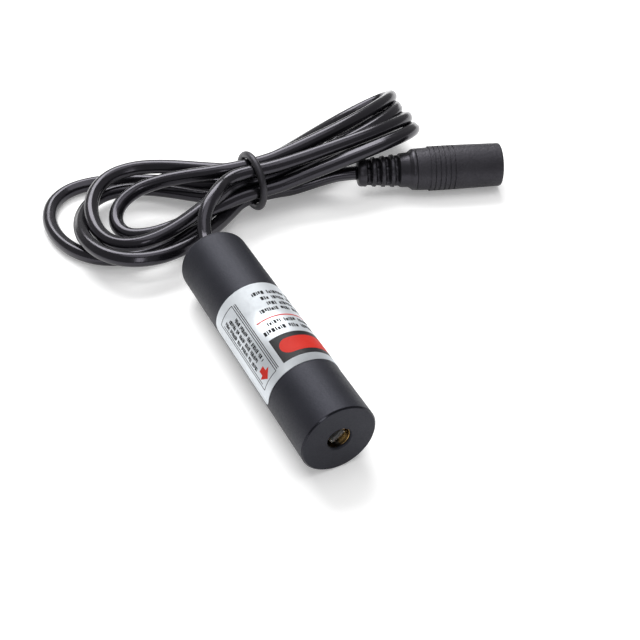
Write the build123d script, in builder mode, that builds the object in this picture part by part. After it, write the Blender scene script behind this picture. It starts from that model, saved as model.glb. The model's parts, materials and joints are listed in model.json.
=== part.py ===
"""Laser diode line module: a black barrel with a foil band, on a wound two-core
cord that ends in an in-line low-voltage socket.

Millimetres. +X is the beam's direction, +Z is up. The origin is on the floor,
under the middle of the barrel.
"""
import os
from math import atan2, degrees, pi, radians, tan

from build123d import *

os.makedirs("parts", exist_ok=True)

# Barrel
BARREL_D = 16.0
BARREL_L = 61.5
BARREL_WALL = 2.0
BORE_D = BARREL_D - 2 * BARREL_WALL
FRONT_WALL = 2.5
FRONT_CHAMFER = 0.35
REAR_ROUND = 1.6
REAR_WALL_SHARE = 0.8
APERTURE_D = 5.0
APERTURE_CHAMFER = 0.25

# Fits: the gap on each side between a piece and its seat
SLIP = 0.03
CORD_GAP = 0.05
TIE_GAP = 0.1

# Foil band
FOIL_T = 0.1
FOIL_W = 26.0
FOIL_FROM_FRONT = 14.5
FOIL_SEAM_DEG = 24.0

# Rear cap and grommet
CAP_T = 3.0
CAP_RECESS = 0.3
GROMMET_D = 6.0
GROMMET_LIP_D = 8.0
GROMMET_LIP_T = 0.8
CAP_CHAMFER = 0.35

# Line lens and its cell
CELL_L = 5.5
CELL_BORE_D = 4.2
ROD_D = 3.0
ROD_L = 8.0
ROD_SET_BACK = 2.2
ROD_TURN_DEG = 35.0
ROD_CHAMFER = 0.15

# Diode holder
HOLDER_L = 15.6
HOLDER_GAP = 3.0
HOLDER_WALL = 1.5
HOLDER_BORE_D = BORE_D - 2 * HOLDER_WALL
HOLDER_BORE_L = 11.4
PIN_HOLE_D = 4.4
HOLDER_CHAMFER = 0.35

# Collimator
COLLIMATOR_L = 8.0
COLLIMATOR_SET_BACK = 0.8
COLLIMATOR_WALL = 1.1
LENS_LEDGE = 0.9
LENS_D = HOLDER_BORE_D - 2 * COLLIMATOR_WALL
COLLIMATOR_BORE_D = LENS_D - 2 * LENS_LEDGE
LENS_EDGE_T = 1.0
LENS_CROWN = 1.1
CROWN_D = LENS_D - 2 * LENS_LEDGE
RING_T = 1.2
RING_WALL = 0.8
RING_BORE_D = LENS_D - 2 * RING_WALL
KEY_SLOT_W = 0.8
KEY_SLOT_DEPTH = 0.7
RING_SLOT_W = 0.7
RING_SLOT_DEPTH = 0.5

# Focus spring
SPRING_WIRE_D = 0.45
SPRING_GAP = 0.7
SPRING_D = HOLDER_BORE_D - 2 * SPRING_GAP
SPRING_TURNS = 2.5

# Laser diode
DIODE_BASE_D = 5.6
DIODE_BASE_T = 1.2
DIODE_CAN_D = 3.6
DIODE_CAN_L = 2.3
DIODE_WINDOW_D = 1.6
DIODE_WINDOW_T = 0.25
CAN_WALL = 0.25
STEM_W = 1.2
STEM_T = 0.9
STEM_L = 1.3
PIN_D = 0.45
PIN_SPREAD = 1.2
PIN_ON_BOARD = 2.2

# Driver board
BOARD_GAP = 1.2
BOARD_W = BORE_D - 2 * BOARD_GAP
BOARD_T = 1.0
BOARD_FROM_HOLDER = 2.5
BOARD_ROUND = 0.5

# What stands on the board: sizes along, across and up, and places behind its front
CAPACITOR_SIZE = (1.6, 3.2, 1.6)
CAPACITOR_AT = (4.0, 2.2)
TRIMMER_SIZE = (3.0, 3.2, 1.8)
TRIMMER_AT = (4.0, -2.2)
BLOCK_CHAMFER = 0.2
RESISTOR_SIZE = (1.25, 2.0, 0.5)
RESISTORS_AT = 7.0
RESISTOR_PITCH = 2.4
RESISTOR_COUNT = 3
CHIP_SIZE = (4.9, 3.0, 1.35)
CHIP_AT = 8.0
CHIP_LIFT = 0.15
LEG_W = 0.42
LEG_PITCH = 1.27
LEG_REACH = 0.75

# Two-core cord
CORD_D = 3.5
CORE_D = 1.0
CORE_PITCH = 1.8
CORE_ON_BOARD = 1.8
CORE_ROOM = 3.0
CORE_STRAIGHT = 0.7
CORE_PAD_PITCH = 2.5
CORE_BEND = 0.4
CORD_INSIDE = 1.2

# Tie band and hank: the turns fill an oval, which leans by this much
TIE_X, TIE_Y, TIE_Z = -55.05, 20.65, 8.0
TIE_LEAN_DEG = 45.0
TIE_WIRE_D = 1.8
WAIST_LONG = 13.1
WAIST_SHORT = 11.08
WAIST_END_R = 5.0
WAIST_BACK = 10.0
WAIST_FRONT = 4.0
LOOP_END_BACK = 8.0
LOOP_END_R = 6.05
MODULE_STUB_L = 9.5
PLUG_STUB_L = 6.5

# Socket on the cord's end
PLUG_L = 36.7
PLUG_TAIL_X, PLUG_TAIL_Y = -49.35, 47.2
PLUG_TURN_DEG = 69.1
RELIEF_L = 14.9
RELIEF_TAIL_R = 3.42
RELIEF_NECK_R = 4.45
RELIEF_NECK_S = 13.0
RELIEF_SHOULDER_S = 13.8
RELIEF_SHOULDER_R = 5.15
RELIEF_CHAMFER = 0.5
SEAM_R = 5.25
GROOVE_FIRST_S = 2.9
GROOVE_PITCH = 2.35
GROOVE_W = 1.1
GROOVE_DEPTH = 0.6
GROOVE_COUNT = 4
BAND_S = 18.2
BAND_R = 5.65
BAND_STEP = 0.25
FINE_COUNT = 5
FINE_FIRST = 0.9
FINE_PITCH = 1.25
FINE_W = 0.35
FINE_DEPTH = 0.25
MOUTH_R = 5.45
MOUTH_ROUND = 0.5
RUN_IN = 4.0
INSERT_D = 8.2
INSERT_L = 14.0
INSERT_SET_BACK = 0.5
SOCKET_D = 5.8
SOCKET_DEPTH = 10.0
SOCKET_LEAD_IN = 0.3
CENTRE_PIN_D = 2.1
CENTRE_PIN_SHANK_D = 2.6
CENTRE_PIN_SET_BACK = 1.2
CENTRE_PIN_NOSE = 0.8
CONTACT_T = 0.25
CONTACT_L = 6.0
CONTACT_SET_BACK = 2.0
CONTACT_SLIT_W = 1.4

# Places along the barrel
BARREL_R = BARREL_D / 2
FRONT_X = BARREL_L / 2
REAR_X = -BARREL_L / 2
WALL_X = FRONT_X - FRONT_WALL
CELL_REAR_X = WALL_X - CELL_L
HOLDER_FRONT_X = CELL_REAR_X - HOLDER_GAP
HOLDER_REAR_X = HOLDER_FRONT_X - HOLDER_L
HOLDER_FLOOR_X = HOLDER_FRONT_X - HOLDER_BORE_L
COLLIMATOR_FRONT_X = HOLDER_FRONT_X - COLLIMATOR_SET_BACK
COLLIMATOR_REAR_X = COLLIMATOR_FRONT_X - COLLIMATOR_L
BOARD_FRONT_X = HOLDER_REAR_X - BOARD_FROM_HOLDER
CAP_OUT_X = REAR_X + CAP_RECESS
CAP_IN_X = CAP_OUT_X + CAP_T
CORD_IN_X = CAP_IN_X + GROMMET_LIP_T + CORD_INSIDE
BOARD_REAR_X = CORD_IN_X + CORE_ROOM
FITTED_R = BORE_D / 2 - SLIP

# The beam's axis, and the plane that turned profiles are drawn on: along, out
BEAM_AXIS = Axis((0, 0, BARREL_R), (1, 0, 0))
BEAM_PLANE = Plane(origin=(0, 0, BARREL_R), x_dir=(1, 0, 0), z_dir=(0, -1, 0))

# The same for the socket, from its tail towards its mouth
PLUG_DIR = Vector(1, 0, 0).rotate(Axis.Z, PLUG_TURN_DEG)
PLUG_TAIL = Vector(PLUG_TAIL_X, PLUG_TAIL_Y, BAND_R)
PLUG_AXIS = Axis(PLUG_TAIL, PLUG_DIR)
PLUG_PLANE = Plane(origin=PLUG_TAIL, x_dir=PLUG_DIR, z_dir=PLUG_DIR.cross(Vector(0, 0, 1)))
PLUG_MOUTH_S = PLUG_L
INSERT_FRONT_S = PLUG_MOUTH_S - INSERT_SET_BACK
INSERT_REAR_S = INSERT_FRONT_S - INSERT_L
SOCKET_FLOOR_S = INSERT_FRONT_S - SOCKET_DEPTH

# Free stretches of the cord, chosen by hand: rear cap to hank, hank to socket
MODULE_LEAD = [
    (CAP_OUT_X, 0, BARREL_R),
    (-32.15, 0, BARREL_R),
    (-35.75, 0.5, 8.6),
    (-38.55, 1.3, 9.2),
]
PLUG_LEAD = [
    (-53.85, 30.5, 3.2),
    (-53.45, 35.0, 3.6),
    (-52.15, 39.6, 4.8),
    tuple(PLUG_TAIL - PLUG_DIR * RUN_IN),
    tuple(PLUG_TAIL),
]

# The plane across the tied turns, with its first direction along the oval
TIE_ALONG = Vector(1, 0, 0).rotate(Axis.Y, -TIE_LEAN_DEG)


def keep(piece, name):
    """Label a finished piece and write it out."""
    piece.label = name
    export_step(piece, f"parts/{name}.step")


def ring_profile(start, end, inner, outer):
    """Corners of a tube's wall, as along and out from its axis."""
    return [(start, inner), (start, outer), (end, outer), (end, inner)]


def make_barrel():
    outline = [
        (REAR_X, BORE_D / 2),
        (REAR_X, BARREL_R),
        (FRONT_X, BARREL_R),
        (FRONT_X, APERTURE_D / 2),
        (WALL_X, APERTURE_D / 2),
        (WALL_X, BORE_D / 2),
    ]
    with BuildPart() as barrel:
        with BuildSketch(BEAM_PLANE):
            Polygon(*outline, align=None)
        revolve(axis=BEAM_AXIS)
        rims = barrel.edges().filter_by(GeomType.CIRCLE).sort_by(Axis.X)
        rear_rim = rims.group_by(Axis.X)[0].sort_by(SortBy.RADIUS)[-1]
        front_rims = rims.group_by(Axis.X)[-1].sort_by(SortBy.RADIUS)
        fillet(rear_rim, min(REAR_ROUND, REAR_WALL_SHARE * BARREL_WALL))
        chamfer(front_rims[-1], FRONT_CHAMFER)
        chamfer(front_rims[0], APERTURE_CHAMFER)
    return barrel.part


def make_foil_label():
    """A thin band round the barrel, its two ends facing each other underneath."""
    start = FRONT_X - FOIL_FROM_FRONT - FOIL_W
    seam_plane = BEAM_PLANE.rotated((180 + FOIL_SEAM_DEG / 2, 0, 0))
    with BuildPart() as label:
        with BuildSketch(seam_plane):
            Polygon(*ring_profile(start, start + FOIL_W, BARREL_R, BARREL_R + FOIL_T), align=None)
        revolve(axis=BEAM_AXIS, revolution_arc=360 - FOIL_SEAM_DEG)
    return label.part


def make_rear_cap():
    with BuildPart() as cap:
        with BuildSketch(BEAM_PLANE):
            Polygon(*ring_profile(CAP_OUT_X, CAP_IN_X, GROMMET_D / 2, FITTED_R), align=None)
        revolve(axis=BEAM_AXIS)
        outer = cap.edges().filter_by(GeomType.CIRCLE).group_by(Axis.X)[0]
        chamfer(outer.sort_by(SortBy.RADIUS)[-1], CAP_CHAMFER)
    return cap.part


def make_grommet():
    """A rubber bush in the cap's hole, held by a lip inside."""
    bore = CORD_D / 2 + CORD_GAP
    outline = [
        (CAP_OUT_X, bore),
        (CAP_OUT_X, GROMMET_D / 2),
        (CAP_IN_X, GROMMET_D / 2),
        (CAP_IN_X, GROMMET_LIP_D / 2),
        (CAP_IN_X + GROMMET_LIP_T, GROMMET_LIP_D / 2),
        (CAP_IN_X + GROMMET_LIP_T, bore),
    ]
    with BuildPart() as grommet:
        with BuildSketch(BEAM_PLANE):
            Polygon(*outline, align=None)
        revolve(axis=BEAM_AXIS)
    return grommet.part


def make_cord_tail():
    """The end of the cord's jacket, inside the grommet."""
    with BuildPart() as tail:
        with BuildSketch(Plane(origin=(CAP_OUT_X, 0, BARREL_R), z_dir=(1, 0, 0))):
            Circle(CORD_D / 2)
        extrude(amount=CORD_IN_X - CAP_OUT_X)
    return tail.part


def make_core(side):
    """One insulated core, from the jacket's end to its pad on the board."""
    lie = BARREL_R + BOARD_T / 2 + CORE_D / 2
    pad_x = BOARD_REAR_X + CORE_ON_BOARD
    route = [
        (CORD_IN_X, side * CORE_PITCH / 2, BARREL_R),
        (CORD_IN_X + CORE_STRAIGHT, side * CORE_PITCH / 2, BARREL_R),
        (BOARD_REAR_X - CORE_STRAIGHT, side * CORE_PAD_PITCH / 2, lie),
        (pad_x, side * CORE_PAD_PITCH / 2, lie),
    ]
    with BuildPart() as core:
        with BuildLine() as path:
            FilletPolyline(*route, radius=CORE_BEND)
        with BuildSketch(Plane(origin=path.line @ 0, z_dir=path.line % 0)):
            Circle(CORE_D / 2)
        sweep(path=path.line)
    return core.part


def rod_plane():
    """The plane across the rod lens, seen along the rod."""
    across = Vector(0, 0, 1).rotate(Axis.X, ROD_TURN_DEG)
    return Plane(origin=(WALL_X - ROD_SET_BACK, 0, BARREL_R), x_dir=(1, 0, 0), z_dir=across)


def make_line_lens_cell():
    """A brass cell with a window and a cross hole for the rod lens."""
    with BuildPart() as cell:
        with BuildSketch(BEAM_PLANE):
            Polygon(*ring_profile(CELL_REAR_X, WALL_X, CELL_BORE_D / 2, FITTED_R), align=None)
        revolve(axis=BEAM_AXIS)
        with BuildSketch(rod_plane()):
            Circle(ROD_D / 2 + SLIP)
        extrude(amount=BORE_D, both=True, mode=Mode.SUBTRACT)
    return cell.part


def make_line_lens():
    with BuildPart() as rod:
        with BuildSketch(rod_plane()):
            Circle(ROD_D / 2)
        extrude(amount=ROD_L / 2, both=True)
        chamfer(rod.edges().filter_by(GeomType.CIRCLE), ROD_CHAMFER)
    return rod.part


def make_diode_holder():
    """The brass body that carries the diode and takes its heat to the barrel."""
    seat_r = DIODE_BASE_D / 2 + SLIP
    outline = [
        (HOLDER_REAR_X, PIN_HOLE_D / 2),
        (HOLDER_REAR_X, FITTED_R),
        (HOLDER_FRONT_X, FITTED_R),
        (HOLDER_FRONT_X, HOLDER_BORE_D / 2),
        (HOLDER_FLOOR_X, HOLDER_BORE_D / 2),
        (HOLDER_FLOOR_X, seat_r),
        (HOLDER_FLOOR_X - DIODE_BASE_T, seat_r),
        (HOLDER_FLOOR_X - DIODE_BASE_T, PIN_HOLE_D / 2),
    ]
    with BuildPart() as holder:
        with BuildSketch(BEAM_PLANE):
            Polygon(*outline, align=None)
        revolve(axis=BEAM_AXIS)
        ends = holder.edges().filter_by(GeomType.CIRCLE).sort_by(SortBy.RADIUS)[-2:]
        chamfer(ends, HOLDER_CHAMFER)
    return holder.part


def make_collimator_cell():
    """The focusing cell: a through bore with a seat for the lens and its ring."""
    seat_x = COLLIMATOR_FRONT_X - RING_T - LENS_EDGE_T
    outline = [
        (COLLIMATOR_REAR_X, COLLIMATOR_BORE_D / 2),
        (COLLIMATOR_REAR_X, HOLDER_BORE_D / 2 - SLIP),
        (COLLIMATOR_FRONT_X, HOLDER_BORE_D / 2 - SLIP),
        (COLLIMATOR_FRONT_X, LENS_D / 2 + SLIP),
        (seat_x, LENS_D / 2 + SLIP),
        (seat_x, COLLIMATOR_BORE_D / 2),
    ]
    with BuildPart() as cell:
        with BuildSketch(BEAM_PLANE):
            Polygon(*outline, align=None)
        revolve(axis=BEAM_AXIS)
        with BuildSketch(Plane(origin=(COLLIMATOR_FRONT_X, 0, BARREL_R), z_dir=(1, 0, 0))):
            Rectangle(HOLDER_BORE_D, KEY_SLOT_W)
        extrude(amount=-KEY_SLOT_DEPTH, mode=Mode.SUBTRACT)
    return cell.part


def make_collimating_lens():
    """Flat towards the diode, crowned towards the beam."""
    flat_x = COLLIMATOR_FRONT_X - RING_T - LENS_EDGE_T
    edge_x = flat_x + LENS_EDGE_T
    with BuildPart() as lens:
        with BuildSketch(BEAM_PLANE):
            with BuildLine():
                Polyline((flat_x, 0), (flat_x, LENS_D / 2), (edge_x, LENS_D / 2), (edge_x, CROWN_D / 2))
                RadiusArc((edge_x, CROWN_D / 2), (edge_x + LENS_CROWN, 0), crown_circle())
                Line((edge_x + LENS_CROWN, 0), (flat_x, 0))
            make_face()
        revolve(axis=BEAM_AXIS)
    return lens.part


def crown_circle():
    """Radius of the sphere that the lens's crown is a cap of."""
    return ((CROWN_D / 2) ** 2 + LENS_CROWN**2) / (2 * LENS_CROWN)


def make_lens_ring():
    start = COLLIMATOR_FRONT_X - RING_T
    with BuildPart() as ring:
        with BuildSketch(BEAM_PLANE):
            Polygon(*ring_profile(start, COLLIMATOR_FRONT_X, RING_BORE_D / 2, LENS_D / 2), align=None)
        revolve(axis=BEAM_AXIS)
        with BuildSketch(Plane(origin=(COLLIMATOR_FRONT_X, 0, BARREL_R), z_dir=(1, 0, 0))):
            Rectangle(RING_SLOT_W, LENS_D)
        extrude(amount=-RING_SLOT_DEPTH, mode=Mode.SUBTRACT)
    return ring.part


def make_focus_spring():
    """A wire spring that pushes the focusing cell away from the holder's floor."""
    wire_r = SPRING_WIRE_D / 2
    start = HOLDER_FLOOR_X + wire_r
    height = COLLIMATOR_REAR_X - wire_r - start
    with BuildPart() as spring:
        with BuildLine() as path:
            Helix(
                pitch=height / SPRING_TURNS,
                height=height,
                radius=SPRING_D / 2 - wire_r,
                center=(start, 0, BARREL_R),
                direction=(1, 0, 0),
            )
        with BuildSketch(Plane(origin=path.line @ 0, z_dir=path.line % 0)):
            Circle(wire_r)
        sweep(path=path.line, is_frenet=True)
    return spring.part


def make_diode_base():
    with BuildPart() as base:
        with BuildSketch(Plane(origin=(HOLDER_FLOOR_X - DIODE_BASE_T, 0, BARREL_R), z_dir=(1, 0, 0))):
            Circle(DIODE_BASE_D / 2)
        extrude(amount=DIODE_BASE_T)
        with BuildSketch(Plane(origin=(HOLDER_FLOOR_X, 0, BARREL_R), z_dir=(1, 0, 0))):
            Rectangle(STEM_W, STEM_T)
        extrude(amount=STEM_L)
    return base.part


def make_diode_can():
    """The drawn metal cap over the emitter, with a hole for the window."""
    end = HOLDER_FLOOR_X + DIODE_CAN_L
    inner = DIODE_CAN_D / 2 - CAN_WALL
    outline = [
        (HOLDER_FLOOR_X, inner),
        (HOLDER_FLOOR_X, DIODE_CAN_D / 2 + CAN_WALL),
        (HOLDER_FLOOR_X + CAN_WALL, DIODE_CAN_D / 2 + CAN_WALL),
        (HOLDER_FLOOR_X + CAN_WALL, DIODE_CAN_D / 2),
        (end, DIODE_CAN_D / 2),
        (end, DIODE_WINDOW_D / 2),
        (end - CAN_WALL, DIODE_WINDOW_D / 2),
        (end - CAN_WALL, inner),
    ]
    with BuildPart() as can:
        with BuildSketch(BEAM_PLANE):
            Polygon(*outline, align=None)
        revolve(axis=BEAM_AXIS)
    return can.part


def make_diode_window():
    window_x = HOLDER_FLOOR_X + DIODE_CAN_L - CAN_WALL - DIODE_WINDOW_T
    with BuildPart() as window:
        with BuildSketch(Plane(origin=(window_x, 0, BARREL_R), z_dir=(1, 0, 0))):
            Circle(DIODE_WINDOW_D / 2 + CAN_WALL)
        extrude(amount=DIODE_WINDOW_T)
    return window.part


def make_diode_pins():
    """Three pins: two over the board's edge and one under it."""
    over = (BOARD_T + PIN_D) / 2
    start = HOLDER_FLOOR_X - DIODE_BASE_T
    end = BOARD_FRONT_X - PIN_ON_BOARD
    with BuildPart() as pins:
        with BuildSketch(Plane(origin=(end, 0, BARREL_R), x_dir=(0, 1, 0), z_dir=(1, 0, 0))):
            with Locations((-PIN_SPREAD, over), (PIN_SPREAD, over), (0, -over)):
                Circle(PIN_D / 2)
        extrude(amount=start - end)
    return pins.part


def make_driver_board():
    with BuildPart() as board:
        with BuildSketch(Plane.XY.offset(BARREL_R - BOARD_T / 2)):
            with Locations(((BOARD_FRONT_X + BOARD_REAR_X) / 2, 0)):
                Rectangle(BOARD_FRONT_X - BOARD_REAR_X, BOARD_W)
        extrude(amount=BOARD_T)
        fillet(board.edges().filter_by(Axis.Z), BOARD_ROUND)
    return board.part


def make_block(place, size):
    """A moulded component, standing on the board's upper face."""
    along, across = place
    length, width, height = size
    with BuildPart() as block:
        with BuildSketch(Plane.XY.offset(BARREL_R + BOARD_T / 2)):
            with Locations((BOARD_FRONT_X - along, across)):
                Rectangle(length, width)
        extrude(amount=height)
        chamfer(block.faces().sort_by(Axis.Z)[-1].edges(), BLOCK_CHAMFER)
    return block.part


def make_driver_chip():
    """An eight-legged chip: its body, with the legs bent down to the board."""
    body_l, body_w, body_t = CHIP_SIZE
    foot = BARREL_R + BOARD_T / 2
    centre_x = BOARD_FRONT_X - CHIP_AT
    with BuildPart() as chip:
        with BuildSketch(Plane.XY.offset(foot + CHIP_LIFT)):
            with Locations((centre_x, 0)):
                Rectangle(body_l, body_w)
        extrude(amount=body_t)
        with BuildSketch(Plane.XY.offset(foot)):
            with Locations((centre_x, 0)):
                with GridLocations(LEG_PITCH, body_w + LEG_REACH, 4, 2):
                    Rectangle(LEG_W, LEG_REACH)
        extrude(amount=body_t / 2)
    return chip.part


def make_resistors():
    """A row of chip resistors on the board's underside."""
    length, width, height = RESISTOR_SIZE
    with BuildPart() as resistors:
        with BuildSketch(Plane.XY.offset(BARREL_R - BOARD_T / 2 - height)):
            with Locations((BOARD_FRONT_X - RESISTORS_AT, 0)):
                with GridLocations(0, RESISTOR_PITCH, 1, RESISTOR_COUNT):
                    Rectangle(length, width)
        extrude(amount=height)
    return resistors.part


def relief_radius(along):
    """Radius of the relief's cone at this distance from its tail."""
    return RELIEF_TAIL_R + (RELIEF_NECK_R - RELIEF_TAIL_R) * along / RELIEF_NECK_S


def make_plug_relief():
    """The ribbed strain relief: a cone with four grooves, then a shoulder."""
    outline = [(0, 0), (0, RELIEF_TAIL_R - RELIEF_CHAMFER), (RELIEF_CHAMFER, RELIEF_TAIL_R)]
    for index in range(GROOVE_COUNT):
        start = GROOVE_FIRST_S + index * GROOVE_PITCH - GROOVE_W / 2
        end = start + GROOVE_W
        outline += [(start, relief_radius(start)), (start, relief_radius(start) - GROOVE_DEPTH)]
        outline += [(end, relief_radius(end) - GROOVE_DEPTH), (end, relief_radius(end))]
    outline += [
        (RELIEF_NECK_S, RELIEF_NECK_R),
        (RELIEF_SHOULDER_S, RELIEF_SHOULDER_R),
        (RELIEF_L, SEAM_R),
        (RELIEF_L, 0),
    ]
    with BuildPart() as relief:
        with BuildSketch(PLUG_PLANE):
            Polygon(*outline, align=None)
        revolve(axis=PLUG_AXIS)
    return relief.part


def make_plug_body():
    """The moulded body, with fine grip grooves and a pocket for the insert."""
    pocket = INSERT_D / 2 + SLIP
    outline = [(RELIEF_L, 0), (RELIEF_L, SEAM_R), (BAND_S, BAND_R - BAND_STEP), (BAND_S, BAND_R)]
    for index in range(FINE_COUNT):
        start = BAND_S + FINE_FIRST + index * FINE_PITCH
        outline += [(start, BAND_R), (start, BAND_R - FINE_DEPTH)]
        outline += [(start + FINE_W, BAND_R - FINE_DEPTH), (start + FINE_W, BAND_R)]
    outline += [
        (PLUG_MOUTH_S, MOUTH_R),
        (PLUG_MOUTH_S, pocket),
        (INSERT_REAR_S, pocket),
        (INSERT_REAR_S, 0),
    ]
    with BuildPart() as body:
        with BuildSketch(PLUG_PLANE):
            Polygon(*outline, align=None)
        revolve(axis=PLUG_AXIS)
        mouth = body.faces().sort_by(PLUG_AXIS)[-1]
        fillet(mouth.edges().sort_by(SortBy.RADIUS)[-1], MOUTH_ROUND)
    return body.part


def make_socket_insert():
    """The hard insert: a blind bore with a lead-in, and a hole for the pin."""
    pin_hole = CENTRE_PIN_SHANK_D / 2 + SLIP
    seat = SOCKET_D / 2 + CONTACT_T + SLIP
    contact_end = INSERT_FRONT_S - CONTACT_SET_BACK
    contact_start = contact_end - CONTACT_L
    outline = [
        (INSERT_REAR_S, pin_hole),
        (INSERT_REAR_S, INSERT_D / 2),
        (INSERT_FRONT_S, INSERT_D / 2),
        (INSERT_FRONT_S, SOCKET_D / 2 + SOCKET_LEAD_IN),
        (INSERT_FRONT_S - SOCKET_LEAD_IN, SOCKET_D / 2),
        (contact_end, SOCKET_D / 2),
        (contact_end, seat),
        (contact_start, seat),
        (contact_start, SOCKET_D / 2),
        (SOCKET_FLOOR_S, SOCKET_D / 2),
        (SOCKET_FLOOR_S, pin_hole),
    ]
    with BuildPart() as insert:
        with BuildSketch(PLUG_PLANE):
            Polygon(*outline, align=None)
        revolve(axis=PLUG_AXIS)
    return insert.part


def make_centre_pin():
    """The socket's pin: a thicker shank in the insert, then a rounded nose."""
    end = INSERT_FRONT_S - CENTRE_PIN_SET_BACK
    with BuildPart() as pin:
        with BuildSketch(Plane(origin=PLUG_TAIL + PLUG_DIR * INSERT_REAR_S, z_dir=PLUG_DIR)):
            Circle(CENTRE_PIN_SHANK_D / 2)
        extrude(amount=SOCKET_FLOOR_S - INSERT_REAR_S)
        with BuildSketch(Plane(origin=PLUG_TAIL + PLUG_DIR * SOCKET_FLOOR_S, z_dir=PLUG_DIR)):
            Circle(CENTRE_PIN_D / 2)
        extrude(amount=end - SOCKET_FLOOR_S)
        fillet(pin.faces().sort_by(PLUG_AXIS)[-1].edges(), CENTRE_PIN_NOSE)
    return pin.part


def make_outer_contact():
    """A split spring sleeve that grips the mating plug's barrel."""
    end = INSERT_FRONT_S - CONTACT_SET_BACK
    start = end - CONTACT_L
    inner = SOCKET_D / 2
    slit_deg = degrees(CONTACT_SLIT_W / inner)
    with BuildPart() as contact:
        with BuildSketch(PLUG_PLANE):
            Polygon(*ring_profile(start, end, inner, inner + CONTACT_T), align=None)
        revolve(axis=PLUG_AXIS, revolution_arc=360 - slit_deg)
    return contact.part


def tie_plane(along):
    """The oval's plane, this far along Y from the middle of the band."""
    return Plane(origin=(TIE_X, TIE_Y + along, TIE_Z), x_dir=TIE_ALONG, z_dir=(0, -1, 0))


def draw_oval(grow):
    """Four arcs that meet smoothly: the waist's outline, grown by a distance."""
    end_x = WAIST_LONG / 2 - WAIST_END_R
    step = WAIST_SHORT / 2 - WAIST_END_R
    flat_y = (end_x**2 - step**2) / (2 * step)
    end_r = WAIST_END_R + grow
    flat_r = WAIST_SHORT / 2 + flat_y + grow
    meet = degrees(atan2(flat_y, end_x))
    CenterArc((end_x, 0), end_r, -meet, 2 * meet)
    CenterArc((0, -flat_y), flat_r, meet, 180 - 2 * meet)
    CenterArc((-end_x, 0), end_r, 180 - meet, 2 * meet)
    CenterArc((0, flat_y), flat_r, 180 + meet, 180 - 2 * meet)


def make_tie_band():
    """A rubber ring stretched round the waist of the hank."""
    with BuildPart() as band:
        with BuildLine(tie_plane(0)) as path:
            draw_oval(TIE_GAP + TIE_WIRE_D / 2)
        with BuildSketch(Plane(origin=path.line @ 0, z_dir=path.line % 0)):
            Circle(TIE_WIRE_D / 2)
        sweep(path=path.line)
    return band.part


def turn_angle(before, corner, after):
    """Degrees that a route turns through at a corner."""
    return (Vector(corner) - Vector(before)).get_angle(Vector(after) - Vector(corner))


def bend_radii(route):
    """The largest radius that each corner's two runs leave room for."""
    radii = []
    for before, corner, after in zip(route, route[1:], route[2:]):
        run = min((Vector(corner) - Vector(before)).length, (Vector(after) - Vector(corner)).length)
        radii.append(0.45 * run / tan(radians(turn_angle(before, corner, after) / 2)))
    return radii


def make_lead(route, name):
    """A plain tube of cord along a route, with an arc at each corner."""
    radii = bend_radii(route)
    with BuildPart() as lead:
        with BuildLine() as path:
            FilletPolyline(*route, radius=radii)
        with BuildSketch(Plane(origin=path.line @ 0, z_dir=path.line % 0)):
            Circle(CORD_D / 2)
        sweep(path=path.line)
    length = sum(edge.length for edge in path.line.edges())
    ideal = pi * CORD_D**2 / 4 * length
    print(name, "radii", [round(r, 1) for r in radii], "length", round(length, 1))
    print(name, "volume", round(lead.part.volume, 2), "section times length", round(ideal, 2))
    return lead.part


def stub_plane(face_point, towards):
    """A plane on the end of a free stretch, facing into the hank."""
    return Plane(origin=face_point, z_dir=Vector(face_point) - Vector(towards))


# Loops of the hank seen from above: circles that the outer hull runs round, and
# those round the two openings between the turns
LOOP_CIRCLES = [((-67.05, -14.6), 15.1), ((-52.95, -11.8), 12.4)]
EYE_CIRCLES = [((-58.55, -6.2), 5.3), ((-57.15, 0.5), 5.6), ((-56.05, 8.0), 2.6)]
CRESCENT_CIRCLES = [((-76.45, -14.0), 1.6), ((-74.95, -18.5), 2.4), ((-70.85, -22.7), 1.6)]

# How high the turns lie over the floor: as places along Y, then along X
HEIGHTS_ALONG = [
    (-30.0, 3.8), (-27.0, 5.4), (-22.0, 7.6), (-18.5, 9.8), (-8.0, 11.2),
    (-2.0, 12.4), (4.0, 15.4), (12.0, 15.4), (TIE_Y, 13.9), (TIE_Y, 1.8), (12.0, 1.8),
    (-6.0, 0.0), (-30.0, 0.0),
]
HEIGHTS_ACROSS = [
    (-82.55, 3.8), (-78.55, 4.5), (-76.55, 7.2), (-74.05, 9.2), (-68.55, 10.4), (-61.55, 11.7),
    (-56.55, 13.7), (-51.55, 15.4), (-39.55, 15.4), (-39.55, 0.0), (-82.55, 0.0),
]

# The fanned folds beyond the band: strands that each section's outline runs
# round, as places along Y and corners in X and Z
FAN = {
    24.0: [(-56.35, 11.8), (-52.15, 12.4), (-50.65, 7.8), (-53.15, 4.6), (-56.45, 3.2), (-59.25, 6.4)],
    30.5: [(-60.05, 10.6), (-51.85, 13.2), (-49.45, 9.1), (-57.05, 7.0), (-60.95, 2.1), (-61.55, 8.2)],
    40.0: [(-57.65, 12.6), (-51.65, 14.3), (-47.95, 10.8), (-56.05, 8.0), (-66.45, 1.9), (-67.35, 7.4)],
    50.0: [(-60.35, 12.7), (-52.35, 14.5), (-48.15, 12.3), (-55.55, 9.2), (-70.25, 2.1), (-71.95, 6.3)],
    60.0: [(-64.65, 12.2), (-54.45, 13.7), (-50.35, 12.0), (-59.05, 6.6), (-72.15, 3.4), (-74.85, 6.3)],
    67.0: [(-71.25, 10.1), (-59.05, 11.0), (-55.05, 10.2), (-59.55, 7.6), (-70.65, 6.2), (-73.95, 8.2)],
    70.4: [(-70.95, 9.3), (-62.95, 9.7), (-60.55, 9.2), (-63.15, 8.4), (-70.15, 7.8), (-72.15, 8.6)],
}


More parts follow.
